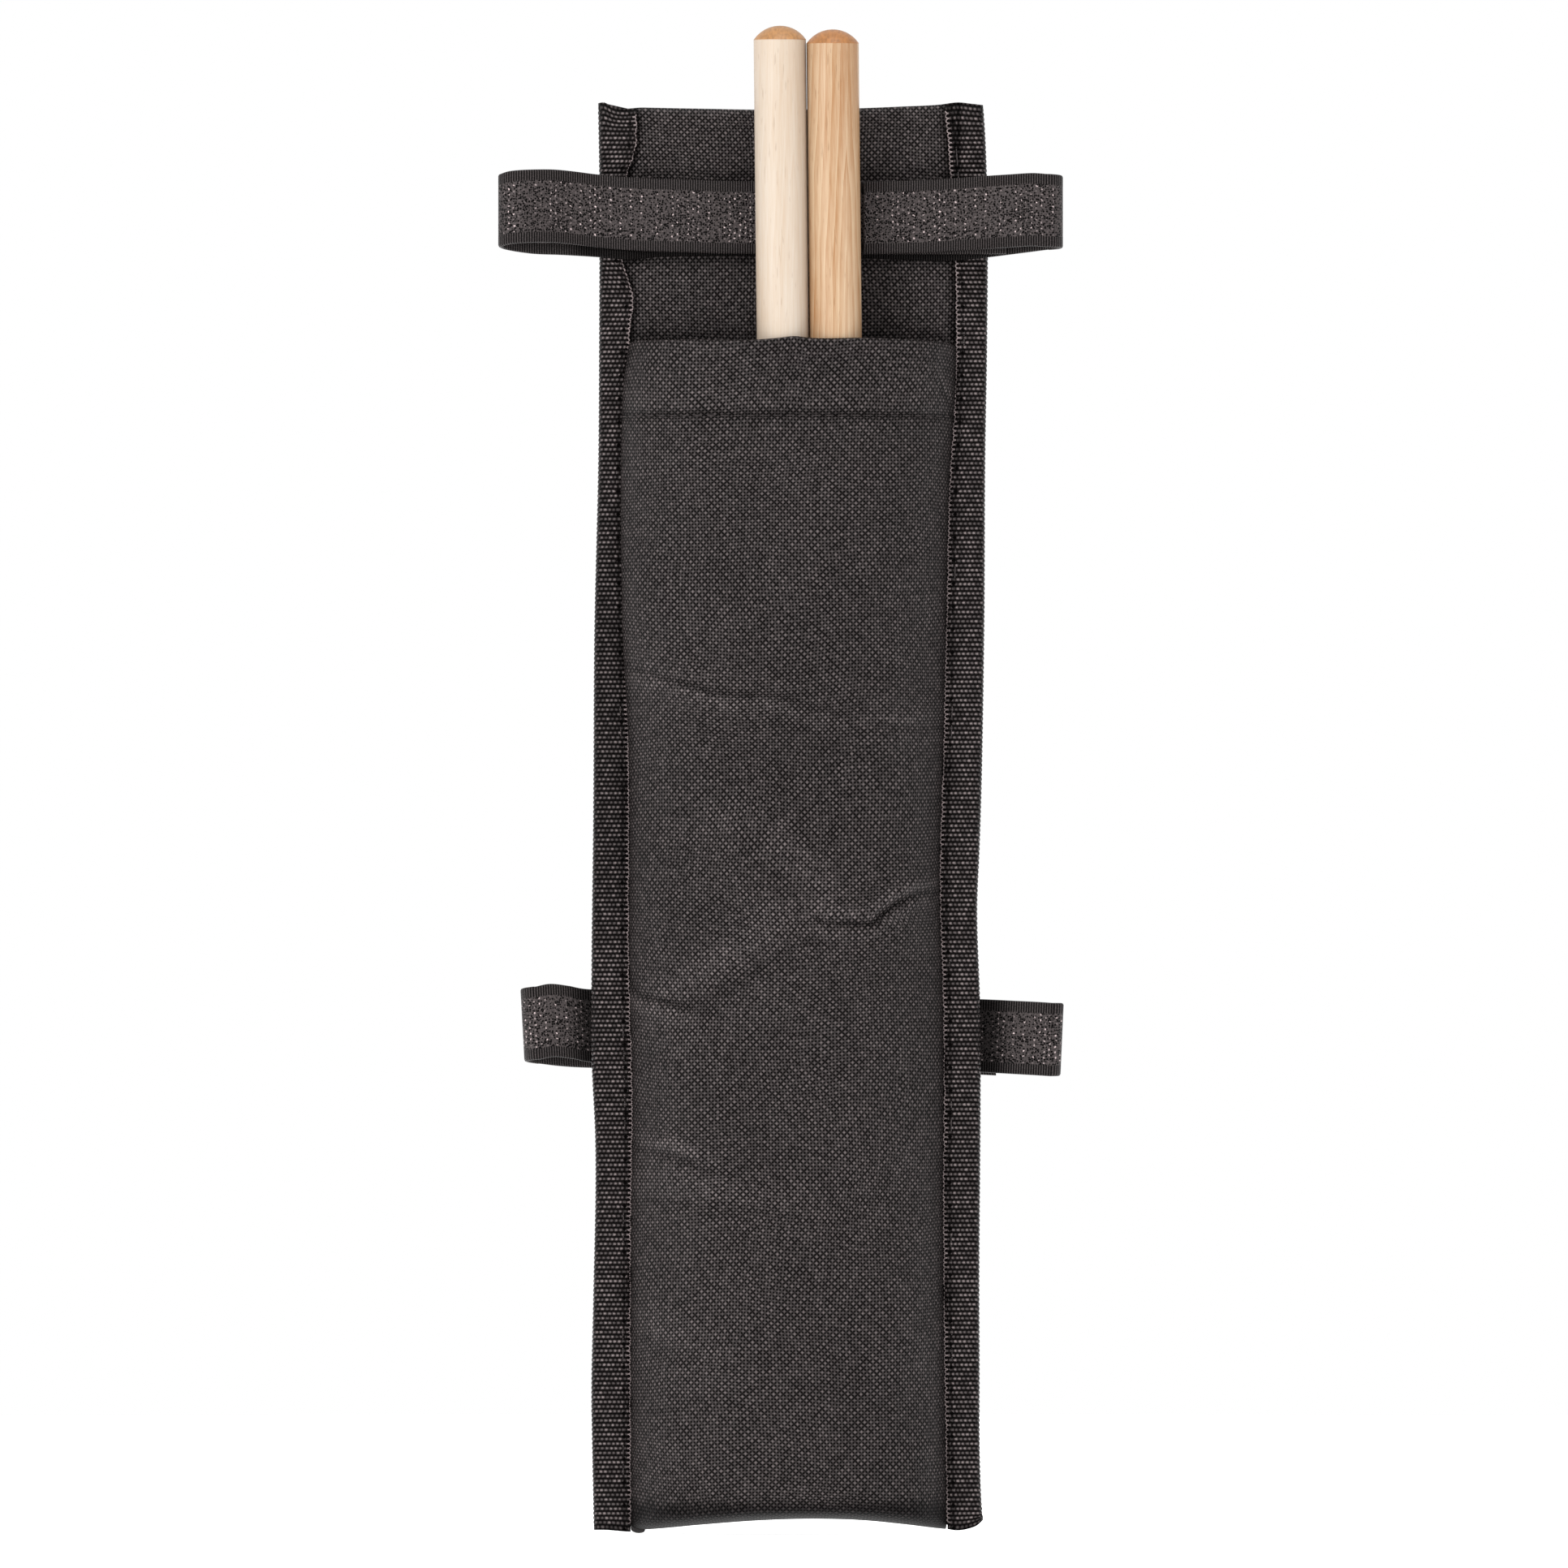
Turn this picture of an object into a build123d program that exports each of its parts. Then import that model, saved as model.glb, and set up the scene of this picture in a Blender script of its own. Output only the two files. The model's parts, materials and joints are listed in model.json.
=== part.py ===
"""Drum stick bag: a padded back panel with bound sides, a fabric pocket across its front, two
hook-and-loop straps that hold it to a drum, and the pair of sticks it carries.

Millimetres. +Z runs up, towards the sticks' butt ends. +X runs across the bag and -Y points out of
the front, on the pocket's side. The origin is on the rear face of the back panel, on the bag's
centre line, level with the middle of the upper strap.
"""

from build123d import *
import os
from math import cos, radians, sin

os.makedirs("parts", exist_ok=True)

# Bag outline
BAG_HALF_WIDTH = 53.2
BAG_TOP = 30.0
BINDING_BOTTOM = -359.6
FLOOR_UNDERSIDE = -356.6
FLOOR_THICKNESS = 0.8
PANEL_BOTTOM = FLOOR_UNDERSIDE + FLOOR_THICKNESS

# Layers of the back panel, as Y of each face: full depth between the bindings, pressed under them
FABRIC = 0.6
PANEL_FRONT = -4.6
PAD_HALF = 41.6
JOGGLE = 1.2
LAYER_HALF = 51.6
PRESSED_REAR = -1.0
PRESSED_FRONT = -4.0
STRAP_CHANNEL_DEPTH = 0.4
STRAP_CHANNEL_HALF = 12.5

# Edge binding: folded webbing
BINDING = 0.9
BINDING_FLANGE = 9.6
BINDING_REAR = -0.1
BINDING_FRONT = -5.5

# Pocket
POCKET_MOUTH = -34.2
HEM_HEIGHT = 20.6
POCKET_FRONT = -25.2
POCKET_EDGE_Y = PRESSED_FRONT - FABRIC / 2
POCKET_EXIT = 43.1

# Stitching
THREAD = 0.3
STITCH_LENGTH = 2.8
STITCH_PITCH = 4.0
SEAM_INSET = 2.0
STITCH_CLEARANCE = 0.2

# Hook-and-loop straps
TAPE_WIDTH = 20.0
TAPE = 1.4
UPPER_STRAP_Z = 0.0
LOWER_STRAP_Z = -223.0
SEWN_HALF = 36.0
RAISED_HALF = 44.0
HINGE_ANGLES = (60, 0, -60)
END_GAP_ANGLE = 1.5

# Drum sticks
STICK_DIAMETER = 14.3
STICK_Y = -16.8
STICK_LEAN = 0.6
LEFT_STICK = {"top": (-2.8, 51.4), "length": 406.9}
RIGHT_STICK = {"top": (11.6, 50.4), "length": 405.9}


def prism(outline, z_low, z_high):
    """A closed XY outline carried straight up from z_low to z_high."""
    face = make_face(Polyline(*outline, close=True))
    return Pos(0, 0, z_low) * extrude(face, amount=z_high - z_low, dir=(0, 0, 1))


def wall(path, thickness, z_low, z_high):
    """A sheet of even thickness that stands along an XY path."""
    band = extrude(trace(path, thickness), amount=z_high - z_low, dir=(0, 0, 1))
    return Pos(0, 0, z_low) * band


# ---------------------------------------------------------------- back panel


def panel_layer(rear, front, rear_pressed, front_pressed, z_high):
    """One layer of the back panel: it steps in under the bindings at both sides."""
    step = PAD_HALF + JOGGLE
    half = [(LAYER_HALF, rear_pressed), (step, rear_pressed), (PAD_HALF, rear)]
    half_front = [(PAD_HALF, front), (step, front_pressed), (LAYER_HALF, front_pressed)]
    right = half_front + half
    left = [(-x, y) for x, y in reversed(right)]
    return prism(right + left, PANEL_BOTTOM, z_high)


def back_outer_panel():
    """Rear fabric, turned over the top edge, with a shallow channel pressed in by the lower strap."""
    sheet = panel_layer(0, -FABRIC, PRESSED_REAR, PRESSED_REAR - FABRIC, BAG_TOP)
    fold = Pos(0, (PANEL_FRONT - FABRIC) / 2, BAG_TOP - FABRIC / 2) * Box(
        2 * PAD_HALF, -PANEL_FRONT - FABRIC, FABRIC
    )
    channel = Pos(0, 0, LOWER_STRAP_Z) * Box(
        2 * LAYER_HALF, 2 * STRAP_CHANNEL_DEPTH, 2 * STRAP_CHANNEL_HALF
    )
    return sheet + fold - channel


def back_foam_pad():
    return panel_layer(
        -FABRIC,
        PANEL_FRONT + FABRIC,
        PRESSED_REAR - FABRIC,
        PRESSED_FRONT + FABRIC,
        BAG_TOP - FABRIC,
    )


def back_inner_panel():
    return panel_layer(
        PANEL_FRONT + FABRIC,
        PANEL_FRONT,
        PRESSED_FRONT + FABRIC,
        PRESSED_FRONT,
        BAG_TOP - FABRIC,
    )


# ---------------------------------------------------------------- bindings


def binding(side):
    """Webbing folded over one long edge, side -1 for the left and +1 for the right."""
    outer = BAG_HALF_WIDTH
    inner = outer - BINDING_FLANGE
    rear_inner = inner + 1.0
    outline = [
        (rear_inner, BINDING_REAR),
        (outer, BINDING_REAR),
        (outer, BINDING_FRONT),
        (inner, BINDING_FRONT),
        (inner, BINDING_FRONT + BINDING),
        (outer - BINDING, BINDING_FRONT + BINDING),
        (outer - BINDING, BINDING_REAR - BINDING),
        (rear_inner, BINDING_REAR - BINDING),
    ]
    return prism([(side * x, y) for x, y in outline], BINDING_BOTTOM, BAG_TOP)


def binding_stitching(side):
    """The row of stitches beside the binding's inner edge, as separate stitches."""
    x = side * (BAG_HALF_WIDTH - BINDING_FLANGE + SEAM_INSET)
    count = int((BAG_TOP - BINDING_BOTTOM) / STITCH_PITCH)
    stitch = Box(THREAD * 2, THREAD, STITCH_LENGTH)
    return Compound(
        children=[
            Pos(x, BINDING_FRONT - THREAD / 2, BAG_TOP - STITCH_PITCH * (n + 0.5)) * stitch
            for n in range(count)
        ]
    )


# ---------------------------------------------------------------- pocket


def pocket_path():
    """The pocket fabric seen from above: out of one binding, over the sticks, into the other."""
    left = (-POCKET_EXIT, POCKET_EDGE_Y)
    right = (POCKET_EXIT, POCKET_EDGE_Y)
    bulge = Spline(
        left,
        (-38.5, -11.5),
        (-15.0, POCKET_FRONT + 1.2),
        (5.0, POCKET_FRONT),
        (26.0, POCKET_FRONT + 1.2),
        (39.5, -11.5),
        right,
        tangents=[(1, -1.4), (1, 1.4)],
    )
    left_edge = Line((-LAYER_HALF, POCKET_EDGE_Y), left)
    right_edge = Line(right, (LAYER_HALF, POCKET_EDGE_Y))
    return left_edge, bulge, right_edge


def pocket_front_panel():
    """Pocket front with its doubled hem at the mouth, turned under the bag as the pocket's floor."""
    left_edge, bulge, right_edge = pocket_path()
    front = wall(bulge, FABRIC, PANEL_BOTTOM, POCKET_MOUTH)
    hem = wall(bulge, 2 * FABRIC, POCKET_MOUTH - HEM_HEIGHT, POCKET_MOUTH)
    edges = [wall(e, FABRIC, PANEL_BOTTOM, POCKET_MOUTH) for e in (left_edge, right_edge)]
    hull = Face(Wire([bulge, Line(bulge @ 1, bulge @ 0)]))
    floor = Pos(0, 0, FLOOR_UNDERSIDE) * extrude(hull, amount=FLOOR_THICKNESS, dir=(0, 0, 1))
    under = Pos(0, POCKET_EDGE_Y / 2, FLOOR_UNDERSIDE + FLOOR_THICKNESS / 2) * Box(
        2 * PAD_HALF, -POCKET_EDGE_Y, FLOOR_THICKNESS
    )
    rim = wall(bulge, FABRIC, FLOOR_UNDERSIDE, PANEL_BOTTOM)
    return front + hem + edges[0] + edges[1] + floor + under + rim


def pocket_hem_stitching():
    """The stitches that hold the hem, following the pocket's curve."""
    bulge = pocket_path()[1]
    count = int(bulge.length / STITCH_PITCH)
    stitches = []
    for n in range(1, count - 1):
        at = bulge @ ((n + 0.5) / count)
        along = bulge % ((n + 0.5) / count)
        outwards = Vector(along.Y, -along.X, 0)
        lift = FABRIC + THREAD / 2 + STITCH_CLEARANCE
        origin = at + outwards * lift + Vector(0, 0, POCKET_MOUTH - HEM_HEIGHT + 1)
        place = Plane(origin=origin, x_dir=(along.X, along.Y, 0), z_dir=(0, 0, 1))
        stitches.append(place * Box(STITCH_LENGTH, THREAD, 2 * THREAD))
    return Compound(children=stitches)


def bottom_seam_stitching():
    """The stitches through the turned-under floor and the back panel's lower edge."""
    count = int(2 * (PAD_HALF - 3) / STITCH_PITCH)
    stitch = Box(STITCH_LENGTH, 2 * THREAD, THREAD)
    first = -(count - 1) * STITCH_PITCH / 2
    return Compound(
        children=[
            Pos(first + n * STITCH_PITCH, PANEL_FRONT / 2, FLOOR_UNDERSIDE - THREAD / 2) * stitch
            for n in range(count)
        ]
    )


# ---------------------------------------------------------------- straps


class Fold:
    """The turn at the end of a strap arm, side -1 or +1, which turns to the front (-1) or rear (+1).

    Its angles run from 90, where the arm from the bag arrives, to -90, where the flap leaves.
    """

    def __init__(self, side, turn, reach, arm_y, radius):
        self.side = side
        self.turn = turn
        self.radius = radius
        self.centre = (side * (reach - TAPE / 2 - radius), arm_y + turn * radius)

    def point(self, angle, extra=0.0):
        r = self.radius + extra
        x = self.centre[0] + self.side * r * cos(radians(angle))
        return (x, self.centre[1] - self.turn * r * sin(radians(angle)))

    def arc(self, start, end):
        return ThreePointArc(self.point(start), self.point((start + end) / 2), self.point(end))


UPPER_LEFT = Fold(side=-1, turn=-1, reach=79.5, arm_y=-6.0, radius=4.6)
UPPER_RIGHT = Fold(side=1, turn=-1, reach=74.7, arm_y=-6.2, radius=3.9)
LOWER_LEFT = Fold(side=-1, turn=1, reach=73.3, arm_y=0.2, radius=3.6)
LOWER_RIGHT = Fold(side=1, turn=1, reach=74.6, arm_y=0.2, radius=2.4)

UPPER_SEWN_Y = PANEL_FRONT - TAPE / 2
UPPER_RAISED_Y = BINDING_FRONT - 0.4 - TAPE / 2
UPPER_LONG_Y = UPPER_RAISED_Y - TAPE - 0.3
UPPER_FLAP_Y = UPPER_LONG_Y - TAPE - 0.3
UPPER_FLAP_TIP = 20.2
UPPER_LONG_END = 60.0

LOWER_SEWN_Y = -STRAP_CHANNEL_DEPTH + TAPE / 2
LOWER_RAISED_Y = 0.2 + TAPE / 2
LOWER_SHORT_Y = LOWER_RAISED_Y + TAPE + 0.3
LOWER_LONG_Y = LOWER_SHORT_Y + TAPE + 0.3
LOWER_SHORT_TIP = 19.6
LOWER_LONG_TIP = 56.0
LIES_FROM = 50.2
SHORT_LIES_FROM = 60.5


def ease(start, end):
    """A smooth S from one point to another that leaves and arrives along X."""
    way = 1 if end[0] > start[0] else -1
    return Spline(start, end, tangents=[(way, 0), (way, 0)])


def arm(fold, raised_y):
    """From the strap's sewn middle over the binding to the fold's first hinge."""
    side = fold.side
    raised = (side * RAISED_HALF, raised_y)
    over = (side * (BAG_HALF_WIDTH + 0.5), raised_y)
    return [Line(raised, over), ease(over, fold.point(90))]


def sewn_middle(sewn_y, raised_y):
    left = ease((-RAISED_HALF, raised_y), (-SEWN_HALF, sewn_y))
    right = ease((SEWN_HALF, sewn_y), (RAISED_HALF, raised_y))
    return [left, Line((-SEWN_HALF, sewn_y), (SEWN_HALF, sewn_y)), right]


def tape(edges, strap_z):
    """Solid tape on its edge along joined XY curves."""
    pieces = [wall(e, TAPE, strap_z - TAPE_WIDTH / 2, strap_z + TAPE_WIDTH / 2) for e in edges]
    return pieces[0].fuse(*pieces[1:]).clean() if len(pieces) > 1 else pieces[0]


def curls(fold, strap_z):
    """The two short pieces of tape between the fold's three hinges."""
    first, middle, last = HINGE_ANGLES
    near = fold.arc(first - END_GAP_ANGLE, middle + END_GAP_ANGLE)
    far = fold.arc(middle - END_GAP_ANGLE, last + END_GAP_ANGLE)
    return tape([near], strap_z), tape([far], strap_z)


def flap(fold, lying_y, lies_from, tip, strap_z):
    """From the fold's last hinge back over the bag to the flap's free tip."""
    turn_end = fold.point(-90)
    laid = (fold.side * lies_from, lying_y)
    end = (tip, lying_y)
    leaving = fold.arc(HINGE_ANGLES[2] - END_GAP_ANGLE, -90)
    return tape([leaving, ease(turn_end, laid), Line(laid, end)], strap_z)


def upper_strap():
    """Sewn middle, the arm that closes round on the left, and the right arm up to its first hinge."""
    closed = [UPPER_LEFT.arc(90, 0), UPPER_LEFT.arc(0, -90)]
    laid = (-(BAG_HALF_WIDTH - 1), UPPER_LONG_Y)
    back = [ease(UPPER_LEFT.point(-90), laid), Line(laid, (UPPER_LONG_END, UPPER_LONG_Y))]
    start = [UPPER_RIGHT.arc(90, HINGE_ANGLES[0] + END_GAP_ANGLE)]
    middle = sewn_middle(UPPER_SEWN_Y, UPPER_RAISED_Y)
    arms = arm(UPPER_LEFT, UPPER_RAISED_Y) + arm(UPPER_RIGHT, UPPER_RAISED_Y)
    return tape(middle + arms + closed + back + start, UPPER_STRAP_Z)


def lower_strap():
    """Sewn middle and both arms up to their first hinges."""
    folds = (LOWER_LEFT, LOWER_RIGHT)
    starts = [f.arc(90, HINGE_ANGLES[0] + END_GAP_ANGLE) for f in folds]
    arms = [edge for f in folds for edge in arm(f, LOWER_RAISED_Y)]
    return tape(sewn_middle(LOWER_SEWN_Y, LOWER_RAISED_Y) + arms + starts, LOWER_STRAP_Z)


def box_stitching(surface_y, outwards, strap_z):
    """A rectangle of stitches with two diagonals, lying on the tape's face."""
    half_x, half_z = 12.0, 7.0
    corners = [(-half_x, -half_z), (half_x, -half_z), (half_x, half_z), (-half_x, half_z)]
    sides = [Line(corners[n], corners[(n + 1) % 4]) for n in range(4)]
    sides += [Line(corners[0], corners[2]), Line(corners[1], corners[3])]
    stitches = []
    for index, line in enumerate(sides):
        count = int(line.length / STITCH_PITCH)
        for n in range(count):
            at = line @ ((n + 0.5) / count)
            along = line % 0.5
            crossing = index > 3 and abs(at.X) < 2
            if not crossing:
                place = Plane(
                    origin=(at.X, surface_y + outwards * THREAD / 2, strap_z + at.Y),
                    x_dir=(along.X, 0, along.Y),
                    z_dir=(0, 1, 0),
                )
                stitches.append(place * Box(STITCH_LENGTH * 0.8, 2 * THREAD, THREAD))
    return Compound(children=stitches)


# ---------------------------------------------------------------- sticks


def stick(length):
    """Domed butt, straight grip, long taper and a rounded bead, with its butt end at the origin."""
    r = STICK_DIAMETER / 2
    taper_top = -length + 84
    neck_top = -length + 13
    neck = 2.9
    bead = 4.7
    dome = 3.8
    dome_radius = (r**2 + dome**2) / (2 * dome)
    dome_middle = (r / 2, -dome_radius + (dome_radius**2 - r**2 / 4) ** 0.5)
    outline = [
        Line((0, 0), (0, -length)),
        ThreePointArc((0, -length), (bead, -length + 6), (neck, neck_top)),
        Bezier((neck, neck_top), (neck + 0.6, neck_top + 16), (r, taper_top - 34), (r, taper_top)),
        Line((r, taper_top), (r, -dome)),
        ThreePointArc((r, -dome), dome_middle, (0, 0)),
    ]
    return revolve(Plane.XZ * make_face(outline), Axis.Z)


def placed_stick(spec):
    x, z = spec["top"]
    return Pos(x, STICK_Y, z) * Rot(0, -STICK_LEAN, 0) * stick(spec["length"])


def nodes():
    """Every sub-part by the name of its node."""
    upper_curl_a, upper_curl_b = curls(UPPER_RIGHT, UPPER_STRAP_Z)
    long_curl_a, long_curl_b = curls(LOWER_LEFT, LOWER_STRAP_Z)
    short_curl_a, short_curl_b = curls(LOWER_RIGHT, LOWER_STRAP_Z)
    return {
        "back_outer_panel": back_outer_panel(),
        "back_foam_pad": back_foam_pad(),
        "back_inner_panel": back_inner_panel(),
        "left_binding": binding(-1),
        "right_binding": binding(1),
        "left_binding_stitching": binding_stitching(-1),
        "right_binding_stitching": binding_stitching(1),
        "pocket_front_panel": pocket_front_panel(),
        "pocket_hem_stitching": pocket_hem_stitching(),
        "bottom_seam_stitching": bottom_seam_stitching(),
        "upper_strap": upper_strap(),
        "upper_strap_curl_a": upper_curl_a,
        "upper_strap_curl_b": upper_curl_b,
        "upper_strap_flap": flap(
            UPPER_RIGHT, UPPER_FLAP_Y, LIES_FROM, UPPER_FLAP_TIP, UPPER_STRAP_Z
        ),
        "upper_strap_stitching": box_stitching(UPPER_SEWN_Y - TAPE / 2, -1, UPPER_STRAP_Z),
        "lower_strap": lower_strap(),
        "lower_strap_long_curl_a": long_curl_a,
        "lower_strap_long_curl_b": long_curl_b,
        "lower_strap_long_flap": flap(
            LOWER_LEFT, LOWER_LONG_Y, LIES_FROM, LOWER_LONG_TIP, LOWER_STRAP_Z
        ),
        "lower_strap_short_curl_a": short_curl_a,
        "lower_strap_short_curl_b": short_curl_b,
        "lower_strap_short_flap": flap(
            LOWER_RIGHT, LOWER_SHORT_Y, SHORT_LIES_FROM, LOWER_SHORT_TIP, LOWER_STRAP_Z
        ),
        "lower_strap_stitching": box_stitching(LOWER_SEWN_Y + TAPE / 2, 1, LOWER_STRAP_Z),
        "left_stick": placed_stick(LEFT_STICK),
        "right_stick": placed_stick(RIGHT_STICK),
    }


for name, shape in nodes().items():
    export_step(shape, f"parts/{name}.step")
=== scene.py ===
"""Drum stick bag: the fabric, webbing, hook-and-loop tape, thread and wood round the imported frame.

Metres, in the frame's own axes: +Z up the bag, +X across it, -Y out of its front.
"""

import json
import math

import bpy
import numpy as np
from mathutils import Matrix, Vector


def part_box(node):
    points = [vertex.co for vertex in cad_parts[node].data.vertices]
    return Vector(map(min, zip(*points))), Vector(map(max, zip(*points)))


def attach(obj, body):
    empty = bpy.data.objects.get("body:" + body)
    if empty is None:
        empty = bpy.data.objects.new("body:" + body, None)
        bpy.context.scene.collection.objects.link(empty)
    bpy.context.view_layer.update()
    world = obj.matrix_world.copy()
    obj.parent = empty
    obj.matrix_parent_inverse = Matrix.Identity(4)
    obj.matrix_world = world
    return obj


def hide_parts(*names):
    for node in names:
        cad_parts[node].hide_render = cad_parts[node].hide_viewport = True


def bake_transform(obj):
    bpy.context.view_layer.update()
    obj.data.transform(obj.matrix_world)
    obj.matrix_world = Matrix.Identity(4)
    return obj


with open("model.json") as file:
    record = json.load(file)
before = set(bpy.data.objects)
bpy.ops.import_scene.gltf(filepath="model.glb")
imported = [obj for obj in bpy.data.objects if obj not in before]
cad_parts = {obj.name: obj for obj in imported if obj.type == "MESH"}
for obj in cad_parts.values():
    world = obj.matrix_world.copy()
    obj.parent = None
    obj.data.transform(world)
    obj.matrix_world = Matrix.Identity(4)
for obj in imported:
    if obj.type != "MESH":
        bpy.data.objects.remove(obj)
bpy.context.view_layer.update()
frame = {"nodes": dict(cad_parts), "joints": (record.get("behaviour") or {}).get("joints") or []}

MM = 0.001

# ------------------------------------------------------------------ places from the frame

_, PANEL_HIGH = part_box("back_outer_panel")
INNER_LOW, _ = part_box("back_inner_panel")
LEFT_LOW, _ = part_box("left_binding")
_, RIGHT_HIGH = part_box("right_binding")
POCKET_LOW, POCKET_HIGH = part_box("pocket_front_panel")
UPPER_LOW, UPPER_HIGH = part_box("upper_strap")
LOWER_LOW, LOWER_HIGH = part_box("lower_strap")
STICK_BOXES = {side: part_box(f"{side}_stick") for side in ("left", "right")}
JOINTS = {j["name"]: j for j in frame["joints"]}

TOP = PANEL_HIGH.z
BOTTOM = LEFT_LOW.z
MOUTH = POCKET_HIGH.z
HEM = 20.6 * MM
REAR = PANEL_HIGH.y
FRONT_OF_PANEL = INNER_LOW.y
BINDING_FRONT = LEFT_LOW.y
EDGE = RIGHT_HIGH.x
UPPER_Z = (UPPER_LOW.z + UPPER_HIGH.z) / 2
LOWER_Z = (LOWER_LOW.z + LOWER_HIGH.z) / 2
TAPE_WIDTH = UPPER_HIGH.z - UPPER_LOW.z

# Fabric, webbing, thread and tape
CLOTH = 0.6 * MM
WEBBING_THICKNESS = 0.9 * MM
THREAD_SIDES = 6
STITCH_DIP = 0.35 * MM
STITCH_RISE = 0.12 * MM
WEAVE_PITCH = 0.88 * MM
RIB_PITCH = 1.27 * MM
KNOT_PITCH = 1.23 * MM
STITCH_PITCH = 6.3 * MM
STITCH_INSET = 2.0 * MM
TAPE = 1.2 * MM
TAPE_RIB = 0.68 * MM
HOOK_COLUMN = 1.42 * MM
HOOK_ROW = 1.55 * MM


# ------------------------------------------------------------------ curves and meshes


def curve(points):
    """A smooth function through (place, value) pairs in millimetres, in metres."""
    pts = np.array(sorted(points), float) * MM
    at, value = pts[:, 0], pts[:, 1]
    slope = np.gradient(value, at)

    def f(t):
        t = np.clip(np.asarray(t, float), at[0], at[-1])
        i = np.clip(np.searchsorted(at, t) - 1, 0, len(at) - 2)
        h = at[i + 1] - at[i]
        u = (t - at[i]) / h
        return (
            (2 * u**3 - 3 * u**2 + 1) * value[i]
            + (u**3 - 2 * u**2 + u) * h * slope[i]
            + (3 * u**2 - 2 * u**3) * value[i + 1]
            + (u**3 - u**2) * h * slope[i + 1]
        )

    return f


def smooth(x, low, high):
    """0 below low, 1 above high and a soft step between."""
    t = np.clip((np.asarray(x, float) - low) / (high - low), 0, 1)
    return t * t * (3 - 2 * t)


def through(points, step=0.5 * MM):
    """Evenly spaced points on a smooth curve through 3-D control points, in metres."""
    p = np.asarray(points, float)
    p = np.vstack([2 * p[0] - p[1], p, 2 * p[-1] - p[-2]])
    fine = []
    for i in range(1, len(p) - 2):
        t = np.linspace(0, 1, 40, endpoint=False)[:, None]
        a, b, c, d = p[i - 1], p[i], p[i + 1], p[i + 2]
        fine.append(
            0.5 * (2 * b + (c - a) * t + (2 * a - 5 * b + 4 * c - d) * t**2
                   + (3 * b - 3 * c + d - a) * t**3)
        )
    return even(np.vstack(fine + [p[-2:-1]]), step)


def even(points, step):
    """The same polyline with evenly spaced points."""
    along = lengths(points)
    count = max(2, int(round(along[-1] / step)) + 1)
    at = np.linspace(0, along[-1], count)
    return np.stack([np.interp(at, along, points[:, k]) for k in range(3)], axis=1)


def lengths(points):
    """Distance along a polyline at each of its points."""
    return np.concatenate([[0], np.cumsum(np.linalg.norm(np.diff(points, axis=0), axis=1))])


def run(points, axis):
    """Distance run over a grid of points, down its rows (0) or across its columns (1)."""
    first = points[:1] if axis == 0 else points[:, :1]
    return np.cumsum(np.linalg.norm(np.diff(points, axis=axis, prepend=first), axis=2), axis=axis)


def bell(distance, width):
    """1 at no distance, falling off evenly to both sides."""
    return np.exp(-((distance / width) ** 2))


def noise_field(count, wavelength, seed):
    """A smooth, seeded sum of plane waves over x and z, about 1 high."""
    rng = np.random.default_rng(seed)
    angle = rng.uniform(0, 2 * np.pi, count)
    scale = 2 * np.pi / (wavelength * rng.uniform(0.7, 1.5, count))
    phase = rng.uniform(0, 2 * np.pi, count)

    def f(x, z):
        total = np.zeros(np.broadcast(x, z).shape)
        for a, k, p in zip(angle, scale, phase):
            total += np.sin(k * (np.cos(a) * x + np.sin(a) * z) + p)
        return total / math.sqrt(count)

    return f


def add_object(name, vertices, faces, material, uv=None, shade=None):
    """A mesh with UVs in metres along the cloth, and the painted shade of each vertex, painted light
    where above 1.
    """
    mesh = bpy.data.meshes.new(name)
    mesh.from_pydata([tuple(v) for v in vertices], [], faces)
    mesh.validate()
    if shade is None:
        shade = np.ones(len(vertices))
    tint = mesh.attributes.new("shade", "FLOAT", "POINT")
    tint.data.foreach_set("value", np.asarray(shade, np.float32).ravel())
    if uv is not None:
        layer = mesh.uv_layers.new(name="cloth")
        loops = np.empty(len(mesh.loops), int)
        mesh.loops.foreach_get("vertex_index", loops)
        layer.data.foreach_set("uv", np.asarray(uv, np.float32)[loops].ravel())
    mesh.polygons.foreach_set("use_smooth", [True] * len(mesh.polygons))
    obj = bpy.data.objects.new(name, mesh)
    bpy.context.scene.collection.objects.link(obj)
    mesh.materials.append(material)
    return obj


def grid_faces(rows, columns, closed=False):
    """Quads of a rows by columns grid; closed joins the last column to the first."""
    last = columns if closed else columns - 1
    r, c = np.meshgrid(np.arange(rows - 1), np.arange(last), indexing="ij")
    n = (c + 1) % columns
    corners = [r * columns + c, r * columns + n, (r + 1) * columns + n, (r + 1) * columns + c]
    return np.stack(corners, axis=-1).reshape(-1, 4).tolist()


def sheet_object(name, points, material, closed=False, caps=False, uv=None, shade=None):
    """A grid of points, rows by columns, as one mesh, with UVs in metres along the cloth."""
    rows, columns = points.shape[:2]
    if uv is None:
        across = run(points, 1)
        across -= across[:, columns // 2][:, None]
        along = run(points, 0).mean(axis=1)[:, None]
        uv = np.stack([across, np.broadcast_to(along, across.shape)], axis=-1)
    faces = grid_faces(rows, columns, closed)
    if caps:
        faces.append(list(range(columns))[::-1])
        faces.append([(rows - 1) * columns + c for c in range(columns)])
    return add_object(name, points.reshape(-1, 3), faces, material, uv.reshape(-1, 2), shade)


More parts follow.
